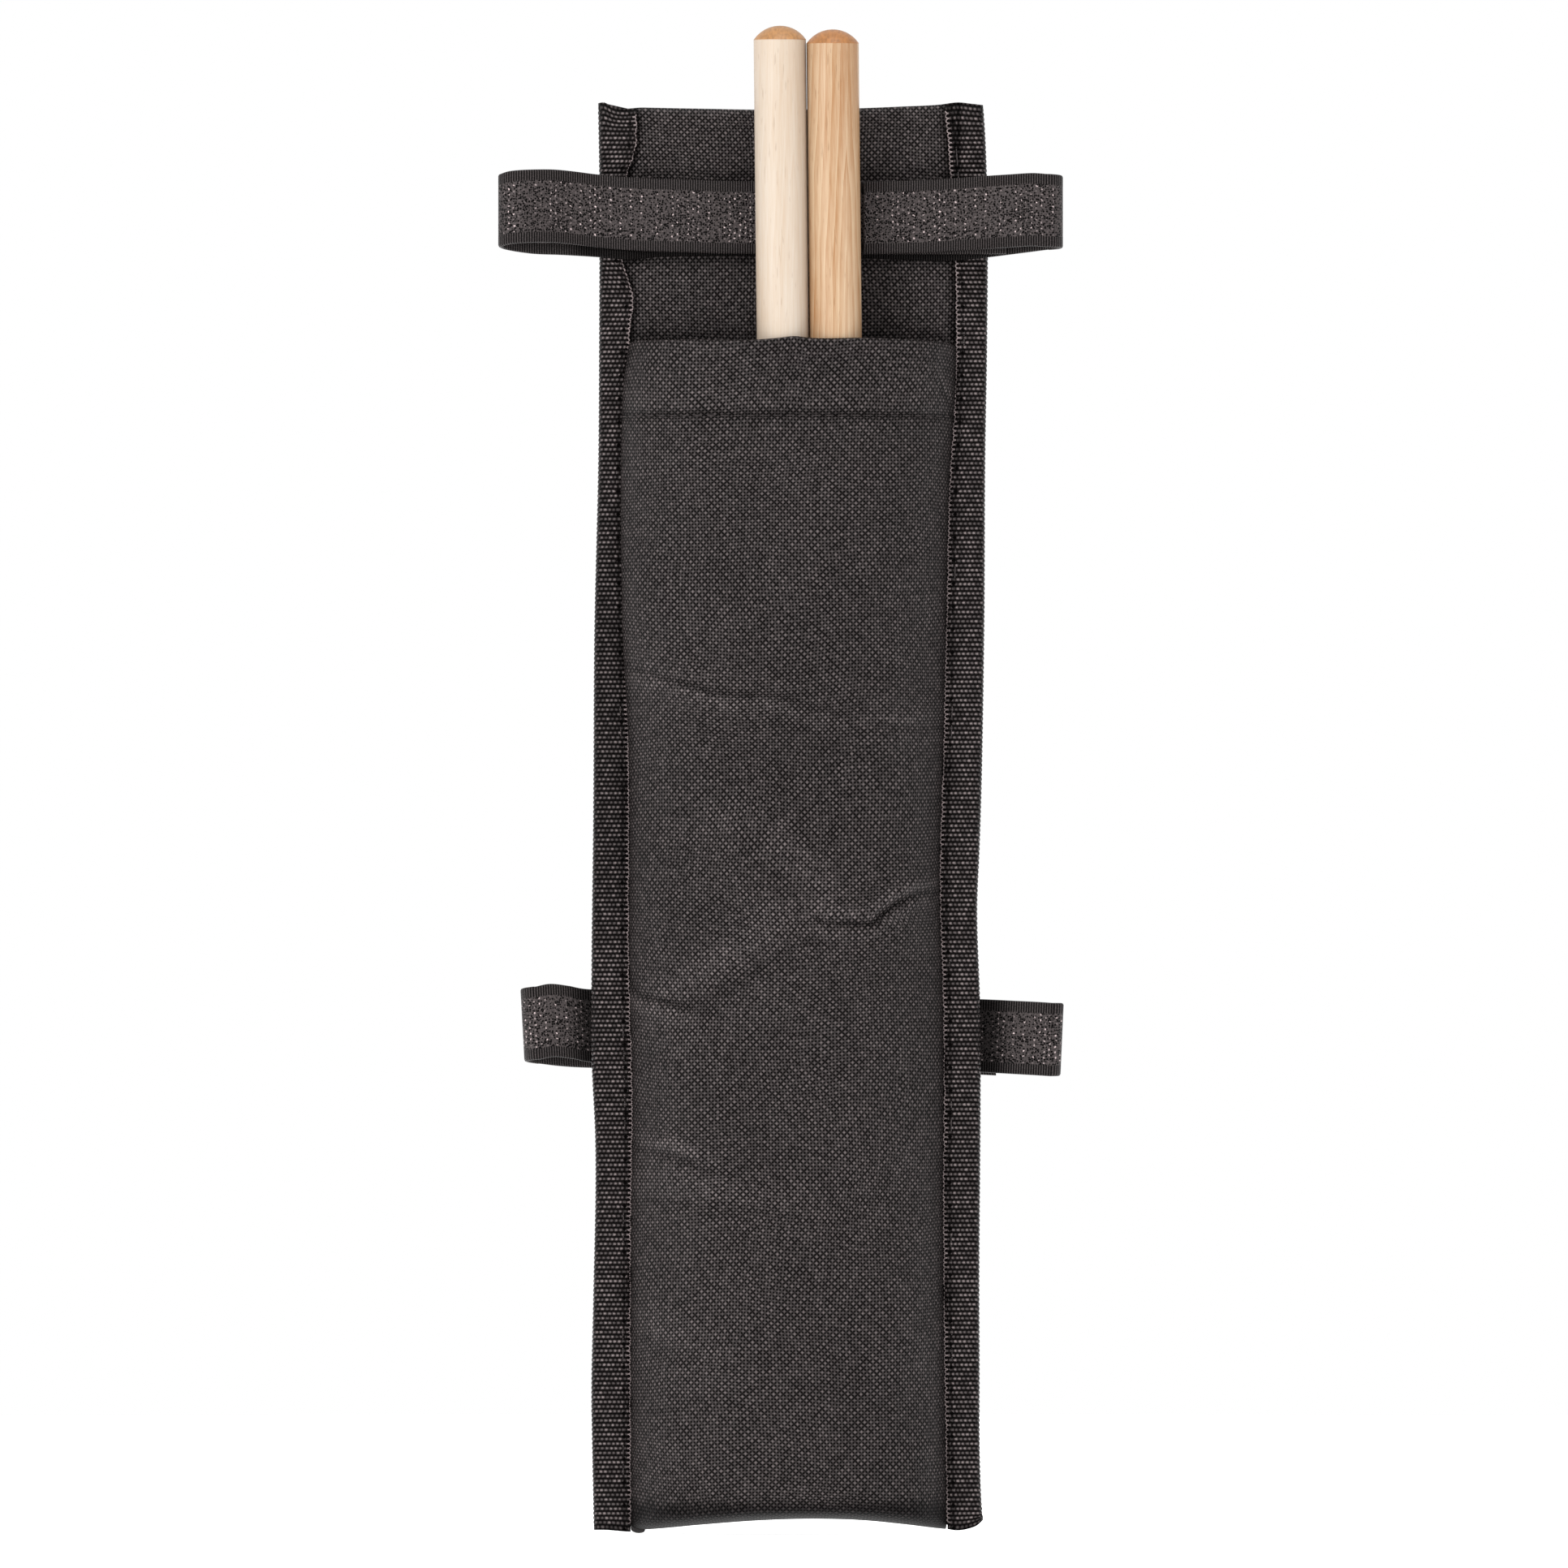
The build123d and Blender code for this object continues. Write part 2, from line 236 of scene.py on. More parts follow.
def tube(path, radius):
    """Vertices and faces of a round thread along a polyline, with closed ends."""
    path = np.asarray(path, float)
    tangent = np.gradient(path, axis=0)
    tangent /= np.linalg.norm(tangent, axis=1)[:, None] + 1e-12
    up = np.array([0.31, 0.22, 0.92])
    side = np.cross(tangent, up)
    side /= np.linalg.norm(side, axis=1)[:, None] + 1e-12
    other = np.cross(tangent, side)
    angle = np.linspace(0, 2 * np.pi, THREAD_SIDES, endpoint=False)[None, :, None]
    ring = np.cos(angle) * side[:, None] + np.sin(angle) * other[:, None]
    vertices = (path[:, None] + ring * radius).reshape(-1, 3)
    faces = grid_faces(len(path), THREAD_SIDES, closed=True)
    faces.append(list(range(THREAD_SIDES))[::-1])
    faces.append([(len(path) - 1) * THREAD_SIDES + k for k in range(THREAD_SIDES)])
    return vertices, faces


def threads(name, paths, radius, material):
    """Many separate threads as one object."""
    vertices, faces, start = [], [], 0
    for path in paths:
        v, f = tube(path, radius)
        vertices.append(v)
        faces += [[i + start for i in face] for face in f]
        start += len(v)
    return add_object(name, np.vstack(vertices), faces, material)


# ------------------------------------------------------------------ materials


class Nodes:
    """A short way to write a material's node tree."""

    def __init__(self, name):
        self.material = bpy.data.materials.new(name)
        self.material.use_nodes = True
        self.tree = self.material.node_tree
        self.shader = self.tree.nodes["Principled BSDF"]

    def add(self, kind, inputs=(), output=0, **settings):
        node = self.tree.nodes.new(kind)
        for key, value in settings.items():
            setattr(node, key, value)
        for key, value in dict(inputs).items():
            self.put(node.inputs[key], value)
        return node.outputs[output]

    def put(self, socket, value):
        if isinstance(value, bpy.types.NodeSocket):
            self.tree.links.new(value, socket)
        else:
            socket.default_value = value

    def math(self, operation, a, b=0.0):
        return self.add("ShaderNodeMath", {0: a, 1: b}, operation=operation)

    def times(self, a, b):
        return self.math("MULTIPLY", a, b)

    def plus(self, a, b):
        return self.math("ADD", a, b)

    def less(self, a, b):
        return self.math("SUBTRACT", a, b)

    def centred(self, value, reach):
        """A 0 to 1 value as an even spread about nothing."""
        return self.times(self.plus(value, -0.5), reach)

    def cell(self, value, pitch):
        """Which thread or row a place lies in, counted in pitches."""
        return self.math("FLOOR", self.times(value, 1 / pitch))

    def chance(self, x, y):
        """A random number for each pair of counts."""
        return self.add("ShaderNodeTexWhiteNoise", {"Vector": self.join(x, y)}, output="Value")

    def step(self, value, low, high, to_low=0.0, to_high=1.0):
        """A soft step from low to high."""
        return self.add(
            "ShaderNodeMapRange",
            {"Value": value, "From Min": low, "From Max": high, "To Min": to_low, "To Max": to_high},
            interpolation_type="SMOOTHSTEP",
        )

    def mix(self, factor, a, b, blend_type="MIX"):
        node = self.tree.nodes.new("ShaderNodeMix")
        node.data_type = "RGBA"
        node.blend_type = blend_type
        self.put(node.inputs["Factor"], factor)
        self.put(node.inputs["A"], a)
        self.put(node.inputs["B"], b)
        return node.outputs["Result"]

    def ramp(self, value, stops):
        node = self.tree.nodes.new("ShaderNodeValToRGB")
        self.put(node.inputs["Fac"], value)
        ramp = node.color_ramp
        while len(ramp.elements) < len(stops):
            ramp.elements.new(0.5)
        for element, (place, colour) in zip(ramp.elements, stops):
            element.position = place
            element.color = (*colour, 1)
        return node.outputs["Color"]

    def noise(self, vector, scale, detail=2.0, output="Fac"):
        return self.add(
            "ShaderNodeTexNoise", {"Vector": vector, "Scale": scale, "Detail": detail}, output=output
        )

    def uv(self):
        """The cloth's own two coordinates, in metres."""
        return self.add("ShaderNodeUVMap", uv_map="cloth")

    def object(self):
        return self.add("ShaderNodeTexCoord", output="Object")

    def shaded(self, colour):
        """The colour times each vertex's painted shade: darker where the cloth is creased or lies in
        shade.
        """
        shade = self.add("ShaderNodeAttribute", output="Fac", attribute_name="shade")
        return self.mix(1.0, colour, self.join(shade, shade, shade), "MULTIPLY")

    def split(self, vector):
        node = self.tree.nodes.new("ShaderNodeSeparateXYZ")
        self.put(node.inputs[0], vector)
        return node.outputs[0], node.outputs[1], node.outputs[2]

    def join(self, x, y, z=0.0):
        return self.add("ShaderNodeCombineXYZ", {0: x, 1: y, 2: z})

    def finish(self, colour, roughness, height=None, distance=0.0, **sockets):
        self.put(self.shader.inputs["Base Color"], colour)
        self.put(self.shader.inputs["Roughness"], roughness)
        for key, value in sockets.items():
            self.put(self.shader.inputs[key.replace("_", " ")], value)
        if height is not None:
            bump = {"Height": height, "Distance": distance, "Strength": 1.0}
            self.put(self.shader.inputs["Normal"], self.add("ShaderNodeBump", bump))
        return self.material


def black(value):
    """Dyed black, a little warm, as bright as value."""
    return (value * 1.24, value, value * 0.99)


def oxford_material():
    """Coarse black polyester in a plain weave: a net of yarns with a pit wherever four of them meet."""
    n = Nodes("oxford_fabric")
    u, v, _ = n.split(n.uv())
    for scale, reach in ((160.0, 0.4 * MM), (22.0, 6.0 * MM)):
        du, dv, _ = n.split(n.noise(n.uv(), scale, 1.0, output="Color"))
        u = n.plus(u, n.centred(du, reach))
        v = n.plus(v, n.centred(dv, reach))
    warp = n.math("SINE", n.times(u, math.pi / WEAVE_PITCH))
    weft = n.math("SINE", n.times(v, math.pi / WEAVE_PITCH))
    pits = n.times(n.less(1.0, n.times(warp, warp)), n.less(1.0, n.times(weft, weft)))
    relief = n.plus(n.times(n.times(warp, weft), 0.30), n.times(pits, -0.72))
    yarn = n.chance(n.cell(u, WEAVE_PITCH), n.cell(v, WEAVE_PITCH))
    fibre = n.noise(n.uv(), 2600.0, 2.0)
    worn = n.noise(n.object(), 24.0, 3.0)
    level = n.plus(relief, n.plus(0.60, n.centred(yarn, 0.24)))
    level = n.plus(level, n.plus(n.centred(fibre, 0.24), n.centred(worn, 0.12)))
    # Painted shade in the weave's pits and painted highlight on the raised yarns, through the colour ramp
    # on the relief
    colour = n.ramp(level, [(0.0, black(0.0008)), (0.25, black(0.0040)), (0.45, black(0.0125)),
                            (0.75, black(0.025)), (1.0, black(0.070))])
    # Painted shade on the reflection: the specular tint is darkened in the pits and where the painted
    # shade is low
    tint = n.shaded(n.ramp(level, [(0.2, (0.02, 0.02, 0.02)), (0.9, (1, 1, 1))]))
    return n.finish(n.shaded(colour), 0.56, relief, 0.16 * MM,
                    Specular_IOR_Level=0.28, Specular_Tint=tint)


def webbing_material():
    """Black binding webbing: ribs of shiny knots across its width, their sheen painted lighter, with
    painted shade between the ribs, along the stitch line and in a line of stitch holes.
    """
    n = Nodes("binding_webbing")
    u, v, _ = n.split(n.uv())
    row = n.cell(v, RIB_PITCH)
    rib = n.math("ABSOLUTE", n.math("SINE", n.times(v, math.pi / RIB_PITCH)))
    wobble = n.noise(n.uv(), 600.0, 1.0)
    shifted = n.plus(n.times(u, 1 / KNOT_PITCH), n.times(row, 0.47))
    shifted = n.plus(shifted, n.centred(wobble, 0.4))
    knot = n.math("ABSOLUTE", n.math("SINE", n.times(shifted, math.pi)))
    yarn = n.chance(n.math("FLOOR", shifted), row)
    hole_u = n.math("ABSOLUTE", n.plus(u, -STITCH_INSET))
    hole_v = n.math("PINGPONG", v, STITCH_PITCH / 2)
    hole = n.step(n.plus(hole_u, hole_v), 0.35 * MM, 0.85 * MM)
    furrow = n.step(hole_u, 0.15 * MM, 0.50 * MM, 0.72, 1.0)
    sunk = n.times(furrow, n.plus(0.12, n.times(hole, 0.88)))
    relief = n.times(n.times(rib, n.plus(0.36, n.times(knot, 0.64))), sunk)
    level = n.times(relief, n.plus(0.72, n.times(yarn, 0.40)))
    # Painted highlight on the knots and painted shade between the ribs, along the stitch line and in the
    # stitch holes
    colour = n.ramp(level, [(0.0, black(0.0008)), (0.34, black(0.0055)), (0.60, black(0.022)),
                            (0.84, black(0.055)), (1.0, black(0.125))])
    # Painted shade on the reflection, darker in the gaps and where the painted shade is low
    tint = n.shaded(n.ramp(level, [(0.35, (0.0, 0.0, 0.0)), (0.9, (1, 1, 1))]))
    return n.finish(n.shaded(colour), 0.42, relief, 0.35 * MM,
                    Specular_IOR_Level=0.3, Specular_Tint=tint)


def tape_material():
    """Black hook-and-loop tape: finely ribbed selvedges round columns of hooks and strands."""
    n = Nodes("hook_and_loop_tape")
    u, v, _ = n.split(n.uv())
    from_edge = n.less(TAPE_WIDTH / 2, n.math("ABSOLUTE", v))
    field = n.step(from_edge, 2.7 * MM, 3.2 * MM)
    ragged = n.noise(n.uv(), 2400.0, 2.0)
    rib = n.plus(n.times(n.math("SINE", n.times(u, 2 * math.pi / TAPE_RIB)), 0.5), 0.5)
    selvedge = n.plus(n.times(rib, 0.42), n.times(n.plus(ragged, -0.25), 0.35))
    bent = n.noise(n.uv(), 500.0, 1.0)
    column_at = n.plus(n.times(u, 1 / HOOK_COLUMN), n.times(bent, 0.7))
    column = n.math("FLOOR", column_at)
    row_at = n.plus(n.plus(n.times(v, 1 / HOOK_ROW), n.times(column, 0.5)), n.times(bent, 0.5))
    side = n.plus(n.math("FRACT", column_at), -0.5)
    down = n.plus(n.math("FRACT", row_at), -0.5)
    # Painted glints: each hook shows as a bright spot, brighter the more upright it stands
    standing = n.chance(column, n.math("FLOOR", row_at))
    upright = n.chance(column, 7.3)
    hook_glint = n.times(n.step(upright, 0.20, 0.70, 0.35, 1.0), n.plus(0.35, n.times(standing, 0.65)))
    spot = n.math("SQRT", n.plus(n.times(side, side), n.times(down, down)))
    hook = n.times(n.step(spot, 0.08, 0.27, 1.0, 0.0), hook_glint)
    strands = n.add(
        "ShaderNodeTexVoronoi",
        {"Vector": n.join(u, n.times(v, 0.93)), "Scale": 1750.0, "Randomness": 0.75},
        feature="F1",
    )
    strand = n.step(strands, 0.18, 0.60, -0.08, 0.52)
    web = n.plus(n.times(strand, n.plus(0.55, n.times(ragged, 0.8))), n.times(hook, 0.50))
    level = n.plus(n.times(selvedge, n.less(1.0, field)), n.times(web, field))
    # Painted shade between the ribs and strands and painted glints on the hooks, through the colour ramp
    colour = n.ramp(level, [(0.0, black(0.0006)), (0.2, black(0.0030)), (0.42, black(0.017)),
                            (0.68, black(0.062)), (1.0, black(0.42))])
    # Painted shade on the reflection, darker where the level is low and where the painted shade is low
    tint = n.shaded(n.ramp(level, [(0.1, (0.05, 0.05, 0.05)), (0.8, (1, 1, 1))]))
    return n.finish(n.shaded(colour), 0.5, level, 0.25 * MM,
                    Specular_IOR_Level=0.28, Specular_Tint=tint)


def thread_material():
    """Dull black sewing thread."""
    n = Nodes("thread")
    ply = n.noise(n.object(), 2500.0, 1.0)
    colour = n.ramp(ply, [(0.3, black(0.010)), (0.7, black(0.045))])
    return n.finish(colour, 0.5, ply, 0.05 * MM, Specular_IOR_Level=0.25)


def loop_material():
    """The slightly shinier yarn that loops along the binding's inner edge, its sheen painted into a
    lighter colour.
    """
    n = Nodes("selvedge_yarn")
    ply = n.noise(n.object(), 900.0, 2.0)
    colour = n.ramp(ply, [(0.32, black(0.030)), (0.66, black(0.19))])
    return n.finish(colour, 0.38, ply, 0.06 * MM, Specular_IOR_Level=0.3)


def melted_material():
    """Webbing sealed with heat where it was cut."""
    n = Nodes("melted_webbing")
    lumps = n.noise(n.object(), 700.0, 3.0)
    colour = n.ramp(lumps, [(0.3, black(0.003)), (0.8, black(0.02))])
    return n.finish(colour, 0.55, lumps, 0.2 * MM, Specular_IOR_Level=0.25)


def wood_material(name, box, pale, deep, figure, end_grain):
    """A turned stick: cathedral figure along its length, pores, and end grain on its domed butt."""
    low, high = box
    n = Nodes(name)
    x, y, z = n.split(n.object())
    x = n.plus(x, -(low.x + high.x) / 2)

    def grain(across, deep_scale, along, detail):
        place = n.join(n.times(x, across), n.times(y, deep_scale), n.times(z, along))
        return n.noise(place, 1.0, detail)

    bend = grain(60, 60, 13, 2.0)
    depth = n.plus(n.times(n.math("ABSOLUTE", n.plus(x, -2.2 * MM)), 2.2), n.times(z, 0.055))
    rings = n.add(
        "ShaderNodeTexWave",
        {
            "Vector": n.join(n.plus(depth, n.times(bend, 0.012)), y, n.times(z, 0.02)),
            "Scale": 78.0, "Distortion": 1.8, "Detail": 3.0, "Detail Scale": 1.4,
        },
        output="Fac", wave_type="BANDS", bands_direction="X", wave_profile="SAW",
    )
    fibre = grain(3200, 3200, 120, 3.0)
    pores = grain(1500, 1500, 190, 1.0)
    tone = grain(130, 130, 14, 3.0)
    ends = grain(1400, 500, 900, 3.0)
    level = n.plus(n.times(rings, figure), n.plus(n.times(fibre, 0.50), n.times(tone, 0.65)))
    colour = n.ramp(n.plus(level, -0.20), [(0.12, pale), (0.78, deep)])
    fleck = n.step(pores, 0.64, 0.76, 0.0, 0.34)
    colour = n.mix(fleck, colour, (*[c * 0.62 for c in deep], 1))
    butt = n.step(z, high.z - 4.1 * MM, high.z - 3.75 * MM, 0.0, 0.95)
    end_colour = n.ramp(ends, [(0.3, end_grain), (0.7, [c * 0.62 for c in end_grain])])
    colour = n.mix(butt, colour, end_colour)
    return n.finish(colour, 0.38, fibre, 0.03 * MM, Specular_IOR_Level=0.3)


OXFORD = oxford_material()
WEBBING = webbing_material()
TAPE_CLOTH = tape_material()
THREAD = thread_material()
LOOPS = loop_material()
MELTED = melted_material()


# ------------------------------------------------------------------ the bag's outline

LEFT_OUTER = curve([
    (30, -52.4), (14, -52.1), (-34, -52.1), (-65, -52.3), (-114, -53.4), (-163, -53.7), (-208, -54.2),
    (-230, -54.2), (-252, -53.2), (-296, -53.7), (-319, -54.2), (-360, -53.6)])
RIGHT_OUTER = curve([
    (30, 52.8), (23, 53.3), (11, 53.8), (-34, 53.9), (-65, 53.4), (-114, 53.1), (-174, 51.8),
    (-188, 51.2), (-214, 51.9), (-305, 51.8), (-352, 52.4), (-360, 52.9)])
LEFT_INNER = curve([
    (30, -42.2), (19, -42.2), (11, -44.6), (-12, -46.0), (-22, -43.1), (-34, -44.0), (-163, -44.0),
    (-208, -44.0), (-241, -43.1), (-275, -43.5), (-360, -43.5)])
RIGHT_INNER = curve([
    (30, 42.4), (19, 43.4), (-12, 45.3), (-52, 45.1), (-65, 44.2), (-114, 42.8), (-141, 42.2),
    (-188, 41.1), (-216, 42.0), (-275, 42.0), (-319, 42.4), (-360, 43.1)])

# The folded top edge, and the bindings' cut ends at the foot, as heights over their mean lines
TOP_EDGE = curve([
    (-53.5, 0.2), (-52, 0.75), (-51, 0.85), (-48.5, -0.4), (-40, -0.6), (-20, -1.0), (-8, -1.2),
    (19, -0.8), (30, -0.35), (41, 0.2), (46.2, 0.8), (50, 0.4), (53.5, 0.1)])
FOOT_EDGE = curve([
    (-54, 0.1), (-50, 0.1), (-44, -0.4), (-42, -0.5), (42, 0.5), (46, 0.0), (49, 0.5), (51.4, 1.5),
    (52.9, 2.9)])

# The arched bottom edge
BOTTOM_LINE = curve([
    (-54, -359.5), (-40, -359.2), (-24, -357.8), (-8, -356.6), (6, -356.2), (20, -356.6),
    (32, -357.8), (42, -359.0), (54, -359.6)])

# The panel's lowest row before it drops to that edge, the height over which its top and foot round
# off, and how far its sides lie inside the bindings' outer edges
PANEL_FOOT = BOTTOM + 4 * MM
PANEL_FOLD = 3 * MM
PANEL_TUCK = 1.6 * MM


def ended(x, z):
    """Heights with the bag's uneven top edge and the bindings' cut ends worked in."""
    top = TOP_EDGE(x) * smooth(z, TOP - 9 * MM, TOP)
    return z + top + FOOT_EDGE(x) * smooth(z, BOTTOM + 5 * MM, BOTTOM)


def near(distance, width):
    """1 at no distance, falling to nothing over the width."""
    return np.exp(-np.clip(distance, 0, None) / width)


# ------------------------------------------------------------------ back panel


def panel_shade(inside, z):
    """Light lost beside the bindings, over the pocket's mouth and along the upper strap."""
    shade = 1.27 - 0.95 * near(inside, 0.7 * MM) - 0.15 * near(inside, 5 * MM)
    for height, loss, width in (
        (MOUTH + 1 * MM, 0.50, 2.0 * MM),
        (UPPER_Z - 12.5 * MM, 0.45, 1.6 * MM),
        (UPPER_Z + 11 * MM, 0.30, 1.6 * MM),
    ):
        shade *= 1 - loss * near(abs(z - height), width)
    return np.clip(shade, 0.08, 1.4)


def back_panel():
    """The padded back: a flat pad with a folded top edge, pressed thin under the bindings."""
    soft = noise_field(7, 46 * MM, seed=3)
    fine = noise_field(9, 13 * MM, seed=4)
    half = 120
    s = np.linspace(0, 1, half)
    foot_top, coarse_top, fold = PANEL_FOOT + PANEL_FOLD, MOUTH - 30 * MM, TOP - PANEL_FOLD
    z_rows = np.concatenate([
        np.linspace(PANEL_FOOT, foot_top, 6, endpoint=False),
        np.linspace(foot_top, coarse_top, 70, endpoint=False),
        np.linspace(coarse_top, fold, 96, endpoint=False),
        TOP - PANEL_FOLD * (1 - np.sin(np.linspace(0, np.pi / 2, 14))),
    ])
    middle = (FRONT_OF_PANEL + REAR) / 2
    rows, shades = [], []
    for z in z_rows:
        left, right = LEFT_OUTER(z) + PANEL_TUCK, RIGHT_OUTER(z) - PANEL_TUCK
        x = left + (right - left) * s
        inside = np.minimum(x - LEFT_INNER(z), RIGHT_INNER(z) - x)
        press = smooth(inside, -0.5 * MM, 3.6 * MM)
        wave = 0.35 * MM * soft(x, z) + 0.10 * MM * fine(x, z)
        front = FRONT_OF_PANEL + 1.0 * MM * (1 - press) - wave * press
        rear = REAR - 0.9 * MM * (1 - press) + 0.25 * MM * soft(x + 0.3, z) * press
        rear = rear - 0.5 * MM * smooth(abs(z - LOWER_Z), 14 * MM, 9 * MM)
        crown = 1 - np.sqrt(np.clip(1 - np.clip((z - fold) / PANEL_FOLD, 0, 1) ** 2, 0, 1))
        flat = (1 - crown) * (0.35 + 0.65 * smooth(z, PANEL_FOOT, foot_top))
        front = middle + (front - middle) * flat
        rear = middle + (rear - middle) * flat
        drop = BOTTOM_LINE(x) + 0.9 * MM - PANEL_FOOT
        height = ended(x, z) + drop * smooth(z, PANEL_FOOT + 9 * MM, PANEL_FOOT)
        rows.append(np.concatenate([
            np.stack([x, front, height], axis=1),
            np.stack([x[::-1], rear[::-1], height[::-1]], axis=1),
        ]))
        shades.append(np.concatenate([panel_shade(inside, z), np.ones(half)]))
    u = np.concatenate([s, s[::-1]]) * 2 * EDGE
    uv = np.stack(np.broadcast_arrays(u[None, :], z_rows[:, None]), axis=-1)
    panel = sheet_object("back_panel", np.stack(rows), OXFORD, closed=True, caps=True, uv=uv,
                         shade=np.stack(shades))
    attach(panel, "bag")
    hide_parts("back_outer_panel", "back_foam_pad", "back_inner_panel")


# ------------------------------------------------------------------ bindings

# The bend round the bag's edge, and the fold line in the right binding's twisted top
EDGE_RADIUS = 1.7 * MM
TWIST_X = 46.2 * MM


def binding_section(x_in, x_out, front_y, rear_y, flat, groove):
    """The webbing's outer face from above: across the front, round the bag's edge and behind."""
    r = EDGE_RADIUS
    corner = np.linspace(0, np.pi / 2, 6)
    lip = 0.8 * MM * (1 - np.minimum(1.0, flat * 5)) ** 2
    tuck = 0.4 * MM * np.maximum(0.0, flat[1:] * 4 - 3) ** 2
    width = x_out - r - x_in
    parts = [
        (x_in + width * flat, front_y + lip - 0.25 * MM * np.sin(np.pi * flat) + 0.7 * MM * groove),
        (x_out - r + r * np.sin(corner[1:]), front_y + r - r * np.cos(corner[1:])),
        (x_out - r + r * np.cos(corner), rear_y - r + r * np.sin(corner)),
        (x_out - r - (width - 1 * MM) * flat[1:], rear_y - tuck),
    ]
    return np.concatenate([np.stack(part, axis=1) for part in parts])


def binding(side):
    """Webbing folded over one long edge of the bag, with real ribs across it."""
    outer, inner = (LEFT_OUTER, LEFT_INNER) if side < 0 else (RIGHT_OUTER, RIGHT_INNER)
    z_rows = np.arange(BOTTOM, TOP, RIB_PITCH / 6)
    wander = noise_field(6, 24 * MM, seed=11 + side)
    flat = np.linspace(0, 1, 15)
    front = slice(len(flat))
    bend = slice(len(flat) - 3, len(flat) + 6)
    rows, shades = [], []
    for z in z_rows:
        x_in, x_out = abs(inner(z)), abs(outer(z))
        across = x_in + (x_out - EDGE_RADIUS - x_in) * flat
        sealed = max(smooth(z, TOP - 2.2 * MM, TOP - 0.8 * MM),
                     smooth(z, BOTTOM + 2.6 * MM, BOTTOM + 1 * MM))
        twisted = smooth(z, 6 * MM, 14 * MM) if side > 0 else 0.0
        groove = bell(across - TWIST_X, 0.5 * MM) * twisted
        pinch = 0.45 * MM * smooth(z, TOP - 2 * MM, TOP)
        front_y = BINDING_FRONT - 0.4 * MM - 0.2 * MM * float(wander(0.0, z)) + pinch
        section = binding_section(x_in, x_out, front_y, REAR + 0.45 * MM - pinch, flat, groove)
        normal = np.gradient(section, axis=0)
        normal = np.stack([normal[:, 1], -normal[:, 0]], axis=1)
        normal /= np.linalg.norm(normal, axis=1)[:, None] + 1e-12
        rib = (0.20 * MM * abs(math.sin(math.pi * z / RIB_PITCH)) - 0.10 * MM) * (1 - sealed)
        inside = (section - normal * WEBBING_THICKNESS)[::-1][::3]
        ring = np.concatenate([section + normal * rib, inside])
        x = side * ring[:, 0]
        rows.append(np.stack([x, ring[:, 1], ended(x, z)], axis=1))
        # The left binding is darker between -75 and -205 mm up
        middle_span = smooth(z, -75 * MM, -100 * MM) * smooth(z, -205 * MM, -180 * MM)
        left_darkening = 0.22 * middle_span if side < 0 else 0.0
        shade = np.full(len(ring), (1.0 - 0.55 * sealed) * (1.0 - left_darkening))
        # Painted shade in the fold line of the right binding's twisted top, a darker strip inside that
        # fold line, and painted shade where the webbing turns round the bag's edge
        shade[front] *= 1 - 0.85 * groove
        shade[front] *= 1 - 0.45 * twisted * (across < TWIST_X)
        shade[bend] *= np.linspace(1.0, 0.45, 9)
        shades.append(shade)
    points, shades = np.stack(rows), np.stack(shades)
    uv = np.stack(np.broadcast_arrays(run(points, 1), z_rows[:, None]), axis=-1)
    if side < 0:
        points, shades, uv = points[:, ::-1], shades[:, ::-1], uv[:, ::-1]
    name = "left_binding_webbing" if side < 0 else "right_binding_webbing"
    strip = sheet_object(name, points, WEBBING, closed=True, caps=True, uv=uv, shade=shades)
    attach(strip, "bag")
    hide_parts("left_binding" if side < 0 else "right_binding")


def binding_loops(side):
    """The looped yarn of the webbing's inner selvedge."""
    inner = LEFT_INNER if side < 0 else RIGHT_INNER
    z = np.arange(BOTTOM + 2 * MM, TOP - 2 * MM, 0.14 * MM)
    phase = 2 * np.pi * z / RIB_PITCH
    jitter = noise_field(9, 4 * MM, seed=20 + side)(0.0, z)
    x = inner(z) + side * (0.42 - 0.50 * np.cos(phase) + 0.12 * jitter) * MM
    y = BINDING_FRONT + (0.10 - 0.30 * np.sin(phase / 2) ** 2) * MM
    path = np.stack([x, y, ended(x, z) + 0.28 * MM * np.sin(phase)], axis=1)
    name = "left_binding_selvedge" if side < 0 else "right_binding_selvedge"
    loops = threads(name, [path], 0.21 * MM, LOOPS)
    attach(loops, "bag")


def binding_nub():
    """The folded end of webbing that shows under the bag's lower left corner."""
    a = np.linspace(0, 2 * np.pi, 20, endpoint=False)
    middle = Vector((-41.5 * MM, BINDING_FRONT + 1.0 * MM, BOTTOM + 1.1 * MM))
    rings = []
    for k in np.linspace(0, 1, 14):
        size = math.sin(np.pi * k) ** 0.5
        rings.append(np.stack([
            np.full(len(a), middle.x - 2.0 * MM * math.cos(np.pi * k)),
            middle.y + 1.0 * MM * size * np.cos(a),
            middle.z + 1.7 * MM * size * np.sin(a) - 0.35 * MM * k,
        ], axis=1))
    nub = sheet_object("left_binding_folded_end", np.stack(rings), MELTED, closed=True, caps=True)
    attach(nub, "bag")


def stitch(a, b, outwards):
    """One stitch of thread from a to b that comes out of the cloth and goes back in."""
    a, b, outwards = np.array(a), np.array(b), np.array(outwards)
    t = np.linspace(0, 1, 7)
    lift = np.sin(np.pi * t) ** 0.5 * (STITCH_DIP + STITCH_RISE) - STITCH_DIP
    return a + (b - a) * t[:, None] + outwards * lift[:, None]


